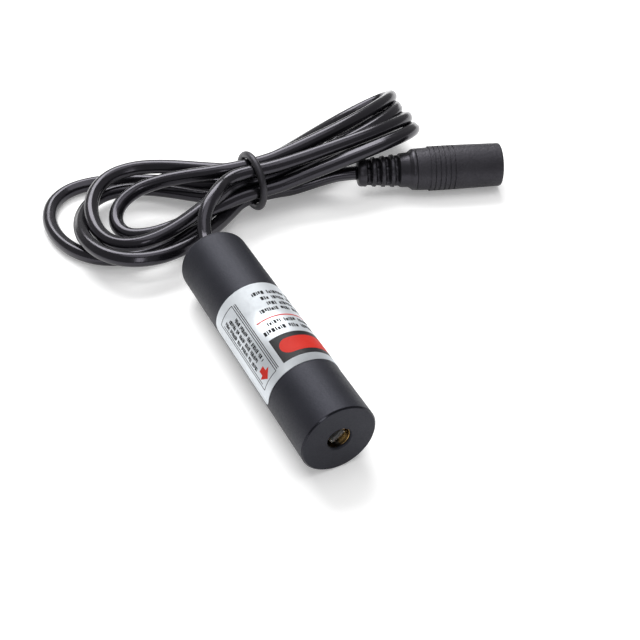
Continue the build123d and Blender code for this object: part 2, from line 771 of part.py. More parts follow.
def loop_hull(circles):
    """A sketch of the hull round some circles on the floor."""
    with BuildSketch() as hull:
        for centre, radius in circles:
            with Locations(centre):
                Circle(radius)
        make_hull()
    return hull.sketch


def make_cord_hank():
    """The outer shape of the tied turns: loops on the left, folds on the right."""
    tie_circle = [((TIE_X, TIE_Y - LOOP_END_BACK), LOOP_END_R)]
    top = max(height for _, height in HEIGHTS_ALONG)
    with BuildPart() as hank:
        add(loop_hull(LOOP_CIRCLES + tie_circle))
        extrude(amount=top)
        for across, profile in ((Plane.YZ, HEIGHTS_ALONG), (Plane.XZ, HEIGHTS_ACROSS)):
            with BuildSketch(across):
                Polygon(*profile, align=None)
            extrude(amount=2 * BARREL_L, both=True, mode=Mode.INTERSECT)
        for opening in (EYE_CIRCLES, CRESCENT_CIRCLES):
            add(loop_hull(opening))
            extrude(amount=top, mode=Mode.SUBTRACT)
        with BuildSketch(tie_plane(WAIST_FRONT)):
            with BuildLine():
                draw_oval(0)
            make_face()
        extrude(amount=WAIST_BACK + WAIST_FRONT)
        for along, corners in FAN.items():
            with BuildSketch(Plane(origin=(0, along, 0), x_dir=(1, 0, 0), z_dir=(0, -1, 0))):
                Polygon(*corners, align=None)
                offset(amount=CORD_D / 2, kind=Kind.ARC)
        loft(ruled=True)
        stubs = ((MODULE_LEAD[-1], MODULE_LEAD[-2], MODULE_STUB_L), (PLUG_LEAD[0], PLUG_LEAD[1], PLUG_STUB_L))
        for face_point, towards, length in stubs:
            with BuildSketch(stub_plane(face_point, towards)):
                Circle(CORD_D / 2)
            extrude(amount=length)
    return hank.part


keep(make_barrel(), "barrel")
keep(make_foil_label(), "foil_label")
keep(make_rear_cap(), "rear_cap")
keep(make_grommet(), "cable_grommet")
keep(make_cord_tail(), "cord_tail")
keep(make_core(1), "core_red")
keep(make_core(-1), "core_black")
keep(make_line_lens_cell(), "line_lens_cell")
keep(make_line_lens(), "line_lens")
keep(make_diode_holder(), "diode_holder")
keep(make_collimator_cell(), "collimator_cell")
keep(make_collimating_lens(), "collimating_lens")
keep(make_lens_ring(), "lens_ring")
keep(make_focus_spring(), "focus_spring")
keep(make_diode_base(), "diode_base")
keep(make_diode_can(), "diode_can")
keep(make_diode_window(), "diode_window")
keep(make_diode_pins(), "diode_pins")
keep(make_driver_board(), "driver_board")
keep(make_driver_chip(), "driver_chip")
keep(make_resistors(), "resistors")
keep(make_block(CAPACITOR_AT, CAPACITOR_SIZE), "capacitor")
keep(make_block(TRIMMER_AT, TRIMMER_SIZE), "trimmer")
keep(make_tie_band(), "tie_band")
keep(make_cord_hank(), "cord_hank")
keep(make_lead(MODULE_LEAD, "module_lead"), "module_lead")
keep(make_lead(PLUG_LEAD, "plug_lead"), "plug_lead")
keep(make_plug_relief(), "plug_relief")
keep(make_plug_body(), "plug_body")
keep(make_socket_insert(), "socket_insert")
keep(make_centre_pin(), "centre_pin")
keep(make_outer_contact(), "outer_contact")
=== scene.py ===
"""Laser diode line module, dressed: the cord wound and tied, the foil's print, the
finishes, a pale floor and soft light. Lengths are given in millimetres and built
in metres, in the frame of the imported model. Angles round the barrel are in degrees
from the top, and grow towards +Y.
"""
import json
from math import cos, pi, radians, sin

import bmesh
import bpy
import numpy as np
from mathutils import Matrix, Vector


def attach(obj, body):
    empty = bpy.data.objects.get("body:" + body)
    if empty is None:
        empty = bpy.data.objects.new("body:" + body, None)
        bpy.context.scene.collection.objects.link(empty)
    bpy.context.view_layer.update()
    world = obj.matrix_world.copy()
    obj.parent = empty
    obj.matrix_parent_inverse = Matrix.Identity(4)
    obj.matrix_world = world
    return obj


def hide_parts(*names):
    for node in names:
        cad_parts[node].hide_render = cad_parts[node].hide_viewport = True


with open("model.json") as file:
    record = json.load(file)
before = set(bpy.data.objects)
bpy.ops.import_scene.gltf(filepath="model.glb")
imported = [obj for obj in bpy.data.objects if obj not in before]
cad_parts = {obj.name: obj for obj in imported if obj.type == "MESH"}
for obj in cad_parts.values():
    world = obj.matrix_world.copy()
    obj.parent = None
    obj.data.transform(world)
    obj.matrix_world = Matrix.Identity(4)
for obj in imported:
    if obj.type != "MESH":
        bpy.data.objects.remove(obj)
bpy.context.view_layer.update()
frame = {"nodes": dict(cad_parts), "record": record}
MM = 0.001

# From the object towards the camera: also the way one strand lies over another
VIEW_LINE = np.array([0.6661, -0.3395, 0.6641])
VIEW_LINE = VIEW_LINE / np.linalg.norm(VIEW_LINE)
TOWARDS_CAMERA = Vector(VIEW_LINE)

# Barrel and foil, as in the solids
AXIS_Z = 8.0
BARREL_R = 8.0
FOIL_R = 8.1

# The barrel's chamfered front rim, in metres: radius, place along, width of its edge
RIM_R = 0.0077
RIM_X = 0.03045
RIM_EDGE = 0.00004

# Foil band: its ends are rounded at the corners and stop short of each other
FOIL_FRONT_X = 16.25
FOIL_W = 26.0
FOIL_START_DEG = -97.0
FOIL_END_DEG = 170.0
FOIL_CORNER = 1.6
FOIL_CORNER_STEPS = (0.0, 0.02, 0.08, 0.2, 0.4, 0.65, 0.95, 1.25, FOIL_CORNER)
FOIL_STATIONS = 150
# The gap between the barrel and the foil's inner face
GLUE_GAP = 0.004

# Print on the foil: how far it and the red bar on its panel stand out, and the longest
# facet round the barrel
INK_LIFT = 0.02
BAR_LIFT = 0.012
PATCH_STEP_DEG = 3
DEG_PER_MM = 180 / pi / FOIL_R

# Rows of short bars: the bars' widths, how many stand in each group, and the spaces,
# all but the counts as shares of the row's height
MARKS = (0.26, 0.46, 0.20, 0.38, 0.54, 0.26, 0.42, 0.20, 0.50, 0.32, 0.24)
GROUPS = (5, 8, 4, 7, 3, 6)
SPACE = 0.15
WORD_SPACE = 0.55
# How far the shorter bars reach from the row's middle, as shares of half its height
SHORT_HIGH, SHORT_LOW = 0.55, 0.5

# Framed strip on the camera's side: its end lines, then its rules as angle, rear, front
RULE_W = 0.16
STRIP_ENDS = (-7.25, 14.25)
STRIP_LOW, STRIP_HIGH = -76, -41
RULES = (
    (STRIP_LOW, -7.25, 14.25), (STRIP_HIGH, -7.25, 14.25), (-72.2, -5.95, 13.05),
    (-37.9, -6.95, 14.05), (-35.2, -6.95, 14.05),
)
# Its rows: angle, rear end, front end, height, first mark
ROWS_ALONG = (
    (-48.0, -3.75, 9.8, 0.82, 0),
    (-57.0, -4.95, 9.4, 0.82, 3),
    (-66.0, -5.75, 9.8, 0.82, 6),
)
# Its arrow: middle and half widths in degrees, tip, back of the head, tail
ARROW_MIDDLE = -58.5
ARROW_HALF, SHAFT_HALF = 12, 5
ARROW_TIP, ARROW_BACK, ARROW_TAIL = 13.75, 11.95, 10.65

# Rows round the barrel: place along, low end, high end, height, first mark
ROWS_ROUND = (
    (-6.4, -8, 112, 1.1, 0),
    (-4.5, 1, 112, 1.1, 4),
    (-2.6, 5, 90, 1.1, 2),
    (-0.8, -12, 112, 1.1, 7),
    (3.15, -14, 112, 1.1, 5),
    (5.15, -26, 112, 1.2, 1),
)
# The thin red rule between them, and the dark panel: rear, front, low end, high end
RED_RULE = (1.42, 1.76, -26, 118)
PANEL = (7.15, 14.15, -26, 118)
# The red bar on the panel: middle, half width, low end, high end
BAR_MIDDLE, BAR_HALF = 10.65, 2.1
BAR_LOW, BAR_HIGH = -19.0, 111.0
# Its outline's steps, more steps in degrees by its ends, and its least half width
BAR_STATIONS = 60
BAR_END_STEPS = (0.3, 1.0)
BAR_LEAST = 0.02

# Socket: where its strain relief starts, and which way it points
PLUG_TAIL = Vector((-49.35, 47.2, 5.65))
PLUG_TURN = radians(69.1)
PLUG_DIR = Vector((cos(PLUG_TURN), sin(PLUG_TURN), 0))

# Strain relief: its cone's tail radius, how much it widens, and over which length
RELIEF_TAIL_R = 3.42
RELIEF_FLARE = 1.03
RELIEF_NECK = 13.0
# The slots that are cut into it from two sides: the first one's middle, and their pitch
SLOT_COUNT = 4
SLOT_FIRST = 2.9
SLOT_PITCH = 2.35
SLOT_W = 1.36
# A slot's bevelled edges, then its walls' run, and its depth at the webs and beyond that
SLOT_BEVEL = 0.16
SLOT_SINK = 0.14
SLOT_WALL = 0.04
SLOT_LEAST, SLOT_DEPTH = 0.32, 1.95
# Makes the deep part of a slot wider, and the webs between its two sides narrower
SLOT_SPREAD = 1.5
# The relief's ends, as places along it with radii
RELIEF_TAIL = [(0, 0.3), (0, 2.75), (0.12, 3.1), (0.35, 3.38)]
RELIEF_TAIL_END = 0.7
RELIEF_SHOULDER = [
    (12.9, 4.44), (13.15, 4.6), (13.8, 5.1), (14.0, 5.2), (14.7, 5.25), (14.82, 5.15),
    (14.9, 5.1), (14.9, 0.3),
]

# Brass nose that lines the aperture: its rear end, and radii of its steps
NOSE_REAR_X = 28.25
NOSE_PROFILE = [
    (0, 2.2), (0.55, 2.2), (0.6, 2.28), (1.1, 2.28), (1.15, 2.36), (1.85, 2.36),
    (1.95, 2.42), (1.95, 2.47), (0, 2.47),
]
# Rod lens across it
ROD_X = 28.75
ROD_R = 1.3
ROD_HALF = 1.65
ROD_BEVEL = 0.1
ROD_TURN = radians(35)
# Points round the turned pieces, and how far an edge turns that stays sharp
NOSE_AROUND, ROD_AROUND, RELIEF_AROUND = 64, 48, 72
SHARP_EDGE = radians(40)

# Cord: diameter, crease on each side between its two cores, points round it, and how
# far it runs for one turn about itself
CORD_D = 3.5
CREASE = 0.17
CREASE_SPREAD = 0.26
ROUND = 28
LAY_TURN_MM = 420.0
# Turns the crease of the stretch by the barrel out of sight
FIRST_TURN = radians(-10)

# Free stretches: the first and the last follow the solids' routes
MODULE_LEAD = [(-30.45, 0, 8), (-32.15, 0, 8), (-35.75, 0.5, 8.6), (-38.55, 1.3, 9.2)]
UP_TO_BAND = [
    (-41.7, 2.4, 10.7), (-44.5, 4.7, 12.25), (-46.8, 7.4, 13.0), (-48.9, 9.75, 13.1),
    (-51.0, 12.05, 12.7),
]
PLUG_LEAD = [
    (-53.85, 30.5, 3.2), (-53.45, 35.0, 3.6), (-52.15, 39.6, 4.8), (-50.78, 43.46, 5.65),
    (-49.35, 47.2, 5.65),
]

# The band's middle, its inner half widths, and where each of the nine passes goes
# through it, along its short and its long axis
TIE = np.array([-55.05, 20.65, 8.0])
WAIST = (5.54, 6.55)
PASS = {
    "1": (-1.06, 4.83), "2": (2.34, 4.06), "3": (3.74, 0.86),
    "4": (-3.42, 2.25), "5": (-3.78, -1.21), "6": (0.78, -5.09),
    "7": (3.21, -2.59), "8": (-0.01, 1.53), "9": (-0.38, -1.87),
}
# Half of a pass's length, and how fast the strands shift on the loops' side of the band
HALF_PASS = 4.6
LEFT_RISE = 0.16
DIAGONAL = 2**-0.5

# Each turn: pass it leaves, pass it enters, side of the band, tip, half width, bow,
# fullness, and how far its leaving half comes towards the camera
TURNS = [
    ("1", "6", 1, (-64.4, 68.8, 6.8), 7.7, (1.5, 2.8, 0.9), 0.8, -0.2),
    ("6", "9", -1, (-73.25, -26.8, 2.1), 16.4, (6.8, -1.1, 0), 0.5, 0),
    ("9", "2", 1, (-61.0, 68.7, 7.6), -5.0, (1.2, 6.5, 0.6), 0.4, -3.5),
    ("2", "4", -1, (-60.15, -14.0, 4.4), -8.2, (0.5, -2.8, 0), 0.5, -1.6),
    ("4", "5", 1, (-74.6, 71.2, 7.2), 7.5, (2.6, -4.4, 0.6), 0.9, 0.5),
    ("5", "8", -1, (-65.75, -18.0, 4.8), 15.4, (2.9, -2.9, 0), 0.5, 1.2),
    ("8", "7", 1, (-72.5, 69.4, 7.4), 8.4, (2.0, 1.5, 0.6), 0.8, 0),
    ("7", "3", -1, (-63.15, -20.6, 5.0), 15.3, (6.6, 2.5, 0), 1.0, -3.2),
]
# Which way the turns are wide, on the loops' and on the folds' side of the band
LOOPS_SIDE = (-0.94, 0.34, 0.0)
FOLDS_SIDE = (0.81, 0.25, 0.53)
# Steps that a turn is drawn with, and the gap between its control points
TURN_STEPS = 301
POINT_GAP = 6.2

# How the turns settle on each other: rounds, line points for each control point, and
# the gap that is left between two strands
SETTLE_ROUNDS = 160
LINE_POINTS = 4
REST_GAP = 0.05
# Stretches of the cord that are nearer than this along it, in diameters, never meet
OWN_REACH = 4
# How far to each side of the band's middle its hold and its pull reach
TIED_REACH = 5
PULL_REACH = 1.6
# A push goes mostly over the other strand and a little straight away from it, and
# each of the two strands takes half
OVER_SHARE, STRAIGHT_SHARE = 0.85, 0.15
EACH_SHARE = 0.5
# Each round takes the moves this much further, fairs the line and smooths its shift
MOVE_GAIN = 1.3
FAIR_SHARE = 0.25
OLD_SHARE, SMOOTH_SHARE = 0.6, 0.4
# Control points by the socket that stay where they are
HELD_AT_END = 4

# Soft lamps: name, place and aim in metres, size, power
LAMPS = (
    ("behind", (-0.42, 0.07, 0.45), (-0.02, 0.01, 0), (0.50, 0.34), 3.8),
    ("overhead", (0.02, 0.05, 0.60), (-0.03, 0.02, 0), (0.5, 0.5), 1.3),
    ("front", (0.32, -0.12, 0.22), (0.03, 0, 0.008), (0.10, 0.10), 0.15),
)
WORLD_STRENGTH = 0.36
# The floor's half width in metres
FLOOR_REACH = 1.6
# The floor's grey: as the lamps see it, and as the camera does, with a little glow
FLOOR_GREY, FLOOR_SEEN_GREY = (0.80, 0.80, 0.80), (0.96, 0.96, 0.96)
FLOOR_GLOW = 0.22

# Camera: place, the way to its right, focal length, sensor width, nearest view in metres
CAMERA_PLACE = Vector((155.043, -67.499, 163.815)) * MM
CAMERA_RIGHT = Vector((0.4541, 0.8910, 0.0))
CAMERA_LENS = 62.19
CAMERA_SENSOR = 36
CAMERA_NEAR = 0.01


# Materials
# The part of its range that a noise fills, for a fine and a broad grain, and how much
# broader the second one is
FINE_RANGE = (0.3, 0.7)
BROAD_RANGE = (0.35, 0.65)
BROADER = 14


def new_material(name):
    material = bpy.data.materials.new(name)
    material.use_nodes = True
    tree = material.node_tree
    return material, tree, tree.nodes["Principled BSDF"]


def object_coords(tree):
    return tree.nodes.new("ShaderNodeTexCoord").outputs["Object"]


def mix_colours(tree, factor, first, second):
    node = tree.nodes.new("ShaderNodeMix")
    node.data_type = "RGBA"
    tree.links.new(factor, node.inputs[0])
    node.inputs[6].default_value = (*first, 1)
    node.inputs[7].default_value = (*second, 1)
    return node.outputs[2]


def map_range(tree, value, low, high, to_low, to_high):
    node = tree.nodes.new("ShaderNodeMapRange")
    tree.links.new(value, node.inputs["Value"])
    ends = (("From Min", low), ("From Max", high), ("To Min", to_low), ("To Max", to_high))
    for name, number in ends:
        node.inputs[name].default_value = number
    return node.outputs["Result"]


def along_way(tree, coords, way):
    """How far a point lies along a direction."""
    node = tree.nodes.new("ShaderNodeVectorMath")
    node.operation = "DOT_PRODUCT"
    node.inputs[1].default_value = way
    tree.links.new(coords, node.inputs[0])
    return node.outputs["Value"]


def grain(tree, source, scale, detail=3.0, stretch=(1, 1, 1)):
    mapping = tree.nodes.new("ShaderNodeMapping")
    mapping.inputs["Scale"].default_value = stretch
    tree.links.new(source, mapping.inputs["Vector"])
    noise = tree.nodes.new("ShaderNodeTexNoise")
    noise.inputs["Scale"].default_value = scale
    noise.inputs["Detail"].default_value = detail
    tree.links.new(mapping.outputs["Vector"], noise.inputs["Vector"])
    return noise.outputs["Fac"]


def bump(tree, shader, height, strength, distance):
    node = tree.nodes.new("ShaderNodeBump")
    node.inputs["Strength"].default_value = strength
    node.inputs["Distance"].default_value = distance
    tree.links.new(height, node.inputs["Height"])
    tree.links.new(node.outputs["Normal"], shader.inputs["Normal"])


def surface(
    name, first, second, rough, scale, stretch=(1, 1, 1), strength=0.2, distance=0.00005,
    **sockets,
):
    """A finish with two near colours, varied gloss and a fine grain."""
    material, tree, shader = new_material(name)
    coords = object_coords(tree)
    fine = grain(tree, coords, scale, 4.0, stretch)
    broad = grain(tree, coords, scale / BROADER, 2.0, stretch)
    share = map_range(tree, broad, *BROAD_RANGE, 0, 1)
    tree.links.new(mix_colours(tree, share, first, second), shader.inputs["Base Color"])
    gloss = map_range(tree, fine, *FINE_RANGE, *rough)
    tree.links.new(gloss, shader.inputs["Roughness"])
    bump(tree, shader, fine, strength, distance)
    for socket, value in sockets.items():
        shader.inputs[socket.replace("_", " ")].default_value = value
    return material


def clear_glass(name):
    """Polished glass with a faint warm tint."""
    material, tree, shader = new_material(name)
    shader.inputs["Base Color"].default_value = (0.62, 0.57, 0.48, 1)
    shader.inputs["Transmission Weight"].default_value = 1.0
    shader.inputs["IOR"].default_value = 1.5
    polish = map_range(tree, grain(tree, object_coords(tree), 900), *FINE_RANGE, 0.0, 0.02)
    tree.links.new(polish, shader.inputs["Roughness"])
    return material


def nose_brass_painted_shade():
    """Brass with painted shade: near black on the side that lies low and left in the aperture,
    where shade falls.
    """
    material, tree, shader = new_material("nose_brass_painted_shade")
    coords = object_coords(tree)
    side = along_way(tree, coords, (0, 0.94, 0.34))
    share = map_range(tree, side, 0.0024, 0.0042, 0, 1)
    # painted shade: the low left side of the nose takes a near-black colour
    colour = mix_colours(tree, share, (0.012, 0.010, 0.008), (0.50, 0.32, 0.12))
    tree.links.new(colour, shader.inputs["Base Color"])
    shader.inputs["Metallic"].default_value = 1.0
    gloss = map_range(tree, grain(tree, coords, 3000), *FINE_RANGE, 0.16, 0.26)
    tree.links.new(gloss, shader.inputs["Roughness"])
    return material


def glossy_rim_painted_shade(material):
    """The barrel's chamfered front rim is glossier than its walls, and its colour is darker:
    painted shade for the rim's dark line.
    """
    tree = material.node_tree
    shader = tree.nodes["Principled BSDF"]
    coords = object_coords(tree)
    across = tree.nodes.new("ShaderNodeVectorMath")
    across.operation = "MULTIPLY_ADD"
    across.inputs[1].default_value = (0, 1, 1)
    across.inputs[2].default_value = (0, 0, -AXIS_Z * MM)
    tree.links.new(coords, across.inputs[0])
    radius = tree.nodes.new("ShaderNodeVectorMath")
    radius.operation = "LENGTH"
    tree.links.new(across.outputs["Vector"], radius.inputs[0])
    along = along_way(tree, coords, (1, 0, 0))
    both = tree.nodes.new("ShaderNodeMath")
    both.operation = "MULTIPLY"
    near_wall = map_range(tree, radius.outputs["Value"], RIM_R, RIM_R + RIM_EDGE, 0, 1)
    near_face = map_range(tree, along, RIM_X, RIM_X + RIM_EDGE, 0, 1)
    tree.links.new(near_wall, both.inputs[0])
    tree.links.new(near_face, both.inputs[1])
    changes = (
        # painted shade: the rim's near-black colour
        ("Base Color", "RGBA", (6, 7, 2), (0.003, 0.003, 0.004, 1)),
        ("Roughness", "FLOAT", (2, 3, 0), 0.16),
    )
    for socket, kind, (first, second, result), value in changes:
        mix = tree.nodes.new("ShaderNodeMix")
        mix.data_type = kind
        tree.links.new(both.outputs[0], mix.inputs[0])
        tree.links.new(shader.inputs[socket].links[0].from_socket, mix.inputs[first])
        mix.inputs[second].default_value = value
        tree.links.new(mix.outputs[result], shader.inputs[socket])


# Tint of the shine on black rubber and plastic
VIOLET = (0.90, 0.86, 1.0, 1.0)

finish = {
    "barrel": surface(
        "barrel_anodised", (0.0095, 0.0099, 0.0135), (0.0120, 0.0125, 0.0168), (0.46, 0.58), 3000,
        strength=0.4, distance=0.00005, Specular_IOR_Level=0.31,
        Specular_Tint=(0.82, 0.83, 1.0, 1.0),
    ),
    "foil": surface(
        "foil_silver", (0.69, 0.725, 0.76), (0.74, 0.775, 0.81), (0.42, 0.52), 1500,
        strength=0.02, distance=0.00001, Metallic=0.65,
    ),
    "rear_cap": surface(
        "cap_anodised", (0.014, 0.014, 0.017), (0.018, 0.018, 0.021), (0.36, 0.48), 4200,
    ),
    "rubber": surface(
        "band_rubber", (0.010, 0.010, 0.011), (0.015, 0.015, 0.016), (0.36, 0.50), 3800,
        Specular_Tint=VIOLET,
    ),
    "cord": surface(
        "cord_jacket", (0.0046, 0.0045, 0.0054), (0.0062, 0.0060, 0.0072), (0.17, 0.23), 900,
        strength=0.02, distance=0.00002, Specular_IOR_Level=0.52, Specular_Tint=VIOLET,
    ),
    "core_red": surface("core_red", (0.45, 0.02, 0.02), (0.52, 0.03, 0.03), (0.3, 0.42), 3000),
    "core_black": surface(
        "core_black", (0.012, 0.012, 0.012), (0.02, 0.02, 0.02), (0.3, 0.42), 3000,
    ),
    "brass": surface(
        "brass_turned", (0.66, 0.45, 0.17), (0.74, 0.52, 0.22), (0.24, 0.36), 3000, (8, 1, 1),
        0.12, 0.00003, Metallic=1.0,
    ),
    "glass": clear_glass("lens_glass"),
    "spring": surface(
        "spring_steel", (0.52, 0.52, 0.50), (0.60, 0.60, 0.58), (0.2, 0.3), 4000, Metallic=1.0,
    ),
    "gold": surface(
        "gold_plate", (0.83, 0.62, 0.25), (0.88, 0.68, 0.30), (0.18, 0.28), 4000, Metallic=1.0,
    ),
    "can": surface(
        "diode_can", (0.72, 0.70, 0.66), (0.78, 0.76, 0.72), (0.2, 0.3), 4000, Metallic=1.0,
    ),
    "board": surface("board_green", (0.02, 0.12, 0.05), (0.03, 0.16, 0.07), (0.35, 0.5), 3000),
    "chip": surface("chip_black", (0.02, 0.02, 0.022), (0.03, 0.03, 0.032), (0.5, 0.6), 5000),
    "capacitor": surface(
        "capacitor_tan", (0.42, 0.26, 0.10), (0.48, 0.31, 0.13), (0.4, 0.5), 4000,
    ),
    "trimmer": surface(
        "trimmer_blue", (0.03, 0.12, 0.42), (0.04, 0.16, 0.50), (0.35, 0.45), 3000,
    ),
    "relief": surface(
        "relief_pvc", (0.0068, 0.0067, 0.0078), (0.0105, 0.0103, 0.0120), (0.30, 0.42), 3000,
        strength=0.25, distance=0.00005, Specular_Tint=VIOLET,
    ),
    "plug": surface(
        "plug_pvc", (0.0092, 0.0090, 0.0108), (0.0170, 0.0166, 0.0192), (0.40, 0.60), 2000,
        strength=0.9, distance=0.00012, Specular_IOR_Level=0.45, Specular_Tint=VIOLET,
    ),
    "insert": surface(
        "insert_plastic", (0.008, 0.008, 0.009), (0.012, 0.012, 0.013), (0.4, 0.5), 3000,
    ),
    "contact": surface(
        "contact_nickel", (0.66, 0.65, 0.62), (0.74, 0.73, 0.70), (0.2, 0.3), 4000, Metallic=1.0,
    ),
}
# the rim gets more gloss, and a darker colour that is painted shade
glossy_rim_painted_shade(finish["barrel"])

ink_black = surface(
    "ink_black", (0.012, 0.012, 0.014), (0.02, 0.02, 0.022), (0.6, 0.7), 3000,
    Specular_IOR_Level=0.08,
)
ink_red = surface(
    "ink_red", (0.50, 0.022, 0.014), (0.56, 0.028, 0.018), (0.5, 0.6), 3000,
    Specular_IOR_Level=0.12,
)
ink_panel = surface(
    "ink_panel", (0.012, 0.012, 0.014), (0.016, 0.016, 0.018), (0.4, 0.5), 3000,
    Specular_IOR_Level=0.16,
)


# Pieces
def dress(obj, material):
    obj.data.materials.clear()
    obj.data.materials.append(material)


def new_object(bm, name):
    """An object in the scene with a bmesh's form."""
    mesh = bpy.data.meshes.new(name)
    bm.to_mesh(mesh)
    bm.free()
    obj = bpy.data.objects.new(name, mesh)
    bpy.context.scene.collection.objects.link(obj)
    return obj


def add_piece(bm, name, slot):
    """Make a piece of a bmesh, dress it for its slot and let it ride on the part."""
    bmesh.ops.recalc_face_normals(bm, faces=bm.faces)
    piece = new_object(bm, name)
    dress(piece, finish[slot])
    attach(piece, "root")
    return piece


def add_print(bm, name, inks):
    """Make a piece of print on the foil, with the inks that its faces count."""
    piece = new_object(bm, name)
    for ink in inks:
        piece.data.materials.append(ink)
    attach(piece, "root")


# The foil and its print
def round_barrel(x, r, angle):
    """A point at a place along the barrel, a radius and an angle in radians."""
    return Vector((x, r * sin(angle), AXIS_Z + r * cos(angle))) * MM


def make_foil_band():
    """The foil: a thin sheet with rounded corners, bent round the barrel."""
    inner_r = BARREL_R + GLUE_GAP
    middle = FOIL_FRONT_X - FOIL_W / 2
    start, end = radians(FOIL_START_DEG) * FOIL_R, radians(FOIL_END_DEG) * FOIL_R
    between = np.linspace(start + FOIL_CORNER, end - FOIL_CORNER, FOIL_STATIONS)[1:-1]
    stations = [start + step for step in FOIL_CORNER_STEPS]
    stations += list(between)
    stations += [end - step for step in reversed(FOIL_CORNER_STEPS)]
    bm = bmesh.new()
    rows = []
    for place in stations:
        short = FOIL_CORNER - min(place - start, end - place, FOIL_CORNER)
        half = FOIL_W / 2 - FOIL_CORNER + (FOIL_CORNER**2 - short**2) ** 0.5
        corners = ((-half, FOIL_R), (half, FOIL_R), (half, inner_r), (-half, inner_r))
        angle = place / FOIL_R
        rows.append([bm.verts.new(round_barrel(middle + x, r, angle)) for x, r in corners])
    for one, two in zip(rows, rows[1:]):
        for k in range(4):
            m = (k + 1) % 4
            face = bm.faces.new((one[k], one[m], two[m], two[k]))
            face.smooth = k in (0, 2)
    bm.faces.new(rows[0])
    bm.faces.new(rows[-1])
    piece = add_piece(bm, "foil_band", "foil")
    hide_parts("foil_label")


def strip(bm, stations, ink_index, lift=INK_LIFT):
    """Print between two edges that run round the foil: angle, rear and front edge."""
    r = FOIL_R + lift
    rows = []
    for angle, rear, front in stations:
        rows.append([bm.verts.new(round_barrel(x, r, radians(angle))) for x in (rear, front)])
    for (a, b), (c, d) in zip(rows, rows[1:]):
        face = bm.faces.new((a, b, d, c))
        face.material_index = ink_index
        face.smooth = True


def patch(bm, rear, front, low, high, ink_index):
    """A plain field of print, between two places along and two angles round."""
    count = max(1, round((high - low) / PATCH_STEP_DEG))
    angles = [low + (high - low) * i / count for i in range(count + 1)]
    strip(bm, [(angle, rear, front) for angle in angles], ink_index)


def bars(start, end, height, first):
    """Where a row's short bars start and end: groups of them with spaces between."""
    spans, at, k, group = [], start, first, first
    while at < end:
        for _ in range(GROUPS[group % len(GROUPS)]):
            stop = at + MARKS[k % len(MARKS)] * height
            if stop > end:
                return spans
            spans.append((at, stop, k))
            at = stop + SPACE * height
            k += 1
        at += WORD_SPACE * height
        group += 1
    return spans


def bar_reach(k, height):
    """Low and high edge of a bar: most are full, some are shorter."""
    half = height / 2
    if k % 3:
        return -half, half
    return (-half, SHORT_HIGH * half) if k % 2 else (-SHORT_LOW * half, half)


def row_round(bm, x, low, high, height, first):
    """A row of short bars that runs round the foil."""
    for start, stop, k in bars(low / DEG_PER_MM, high / DEG_PER_MM, height, first):
        rear, front = bar_reach(k, height)
        patch(bm, x + rear, x + front, start * DEG_PER_MM, stop * DEG_PER_MM, 0)


def row_along(bm, angle, rear, front, height, first):
    """A row of short bars that runs along the barrel."""
    for start, stop, k in bars(rear, front, height, first):
        low, high = bar_reach(k, height)
        patch(bm, start, stop, angle + low * DEG_PER_MM, angle + high * DEG_PER_MM, 0)


def arrow_stations():
    """The plain arrow towards the aperture, with a step where its head meets its shaft."""
    stations = []
    for off in range(-ARROW_HALF, ARROW_HALF + 1):
        angle = ARROW_MIDDLE + off
        front = ARROW_TIP - (ARROW_TIP - ARROW_BACK) * abs(off) / ARROW_HALF
        head, shaft = (angle, ARROW_BACK, front), (angle, ARROW_TAIL, front)
        if off == -SHAFT_HALF:
            stations += [head, shaft]
        elif off == SHAFT_HALF:
            stations += [shaft, head]
        else:
            stations.append(shaft if abs(off) < SHAFT_HALF else head)
    return stations


def make_print():
    """All print but the bar on the panel: plain bars, rules, an arrow and fields."""
    bm = bmesh.new()
    half = RULE_W / 2
    for x in STRIP_ENDS:
        patch(bm, x - half, x + half, STRIP_LOW, STRIP_HIGH, 0)
    for angle, rear, front in RULES:
        patch(bm, rear, front, angle - half * DEG_PER_MM, angle + half * DEG_PER_MM, 0)
    for row in ROWS_ALONG:
        row_along(bm, *row)
    strip(bm, arrow_stations(), 1)
    for row in ROWS_ROUND:
        row_round(bm, *row)
    patch(bm, *RED_RULE, 1)
    patch(bm, *PANEL, 2)
    add_print(bm, "foil_print", (ink_black, ink_red, ink_panel))


def make_panel_bar():
    """The plain red bar with round ends on the dark panel."""
    end_reach = BAR_HALF * DEG_PER_MM

    def half_width(angle):
        inside = min(angle - BAR_LOW, BAR_HIGH - angle, end_reach)
        return max(BAR_HALF * (1 - ((end_reach - inside) / end_reach) ** 2) ** 0.5, BAR_LEAST)

    span = BAR_HIGH - BAR_LOW
    angles = [BAR_LOW + span * i / BAR_STATIONS for i in range(BAR_STATIONS + 1)]
    angles += [BAR_LOW + step for step in BAR_END_STEPS]
    angles += [BAR_HIGH - step for step in BAR_END_STEPS]
    stations = []
    for angle in sorted(angles):
        half = half_width(angle)
        stations.append((angle, BAR_MIDDLE - half, BAR_MIDDLE + half))
    bm = bmesh.new()
    strip(bm, stations, 0, INK_LIFT + BAR_LIFT)
    add_print(bm, "panel_bar", (ink_red,))


# Turned pieces that the camera sees closely
def turned(origin, axis, first, profile, around, closed):
    """A form turned round an axis: places along it with radii, which may vary round it."""
    second = axis.cross(first)
    bm = bmesh.new()
    rings = []
    for along, radius in profile:
        ring = []
        for k in range(around):
            angle = 2 * pi * k / around
            r = radius(angle) if callable(radius) else radius
            out = first * cos(angle) + second * sin(angle)
            ring.append(bm.verts.new((origin + axis * along + out * r) * MM))
        rings.append(ring)
    pairs = list(zip(rings, rings[1:]))
    if closed:
        pairs.append((rings[-1], rings[0]))
    else:
        bm.faces.new(rings[0])
        bm.faces.new(rings[-1])
    for one, two in pairs:
        for k in range(around):
            m = (k + 1) % around
            bm.faces.new((one[k], one[m], two[m], two[k])).smooth = True
    for edge in bm.edges:
        if len(edge.link_faces) == 2 and edge.calc_face_angle(0) > SHARP_EDGE:
            edge.smooth = False
    return bm


